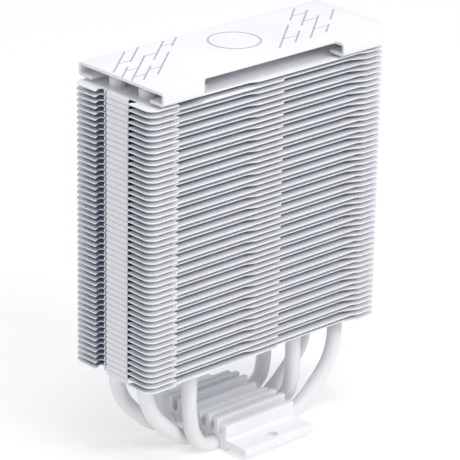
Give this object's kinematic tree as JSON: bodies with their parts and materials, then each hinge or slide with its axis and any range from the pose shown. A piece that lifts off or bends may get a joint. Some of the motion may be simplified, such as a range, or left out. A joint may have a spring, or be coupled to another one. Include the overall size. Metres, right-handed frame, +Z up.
{
  "type": "cpu tower cooler",
  "caption": "White tower heatsink for a processor: a tall stack of thin fins on bent heat pipes, with a ridged base block, screw ledges and a folded sheet cover on top.",
  "frame": {"origin": "middle of the contact face under the base block, where the cooler meets the processor", "axes": "+Z up from the contact face to the top cover, +X along the long edges of the fins, +Y along their short edges"},
  "size_m": [0.1236, 0.061, 0.154],
  "materials": {
    "fin_paint": "satin",
    "pipe_paint": "satin",
    "base_paint": "satin",
    "cover_paint": "satin"
  },
  "bodies": {
    "root": {"top_cover": "cover_paint", "base_block": "base_paint", "heat_pipe_1": "pipe_paint", "heat_pipe_2": "pipe_paint", "heat_pipe_3": "pipe_paint", "heat_pipe_4": "pipe_paint", "fin_01": "fin_paint", "fin_02": "fin_paint", "fin_03": "fin_paint", "fin_04": "fin_paint", "fin_05": "fin_paint", "fin_06": "fin_paint", "fin_07": "fin_paint", "fin_08": "fin_paint", "fin_09": "fin_paint", "fin_10": "fin_paint", "fin_11": "fin_paint", "fin_12": "fin_paint", "fin_13": "fin_paint", "fin_14": "fin_paint", "fin_15": "fin_paint", "fin_16": "fin_paint", "fin_17": "fin_paint", "fin_18": "fin_paint", "fin_19": "fin_paint", "fin_20": "fin_paint", "fin_21": "fin_paint", "fin_22": "fin_paint", "fin_23": "fin_paint", "fin_24": "fin_paint", "fin_25": "fin_paint", "fin_26": "fin_paint", "fin_27": "fin_paint", "fin_28": "fin_paint", "fin_29": "fin_paint", "fin_30": "fin_paint", "fin_31": "fin_paint", "fin_32": "fin_paint", "fin_33": "fin_paint", "fin_34": "fin_paint", "fin_35": "fin_paint", "fin_36": "fin_paint", "fin_37": "fin_paint", "fin_38": "fin_paint", "fin_39": "fin_paint", "fin_40": "fin_paint", "fin_41": "fin_paint", "fin_42": "fin_paint", "fin_43": "fin_paint", "fin_44": "fin_paint", "fin_45": "fin_paint", "fin_46": "fin_paint", "fin_47": "fin_paint", "fin_48": "fin_paint", "fin_49": "fin_paint", "fin_50": "fin_paint"}
  },
  "joints": []
}
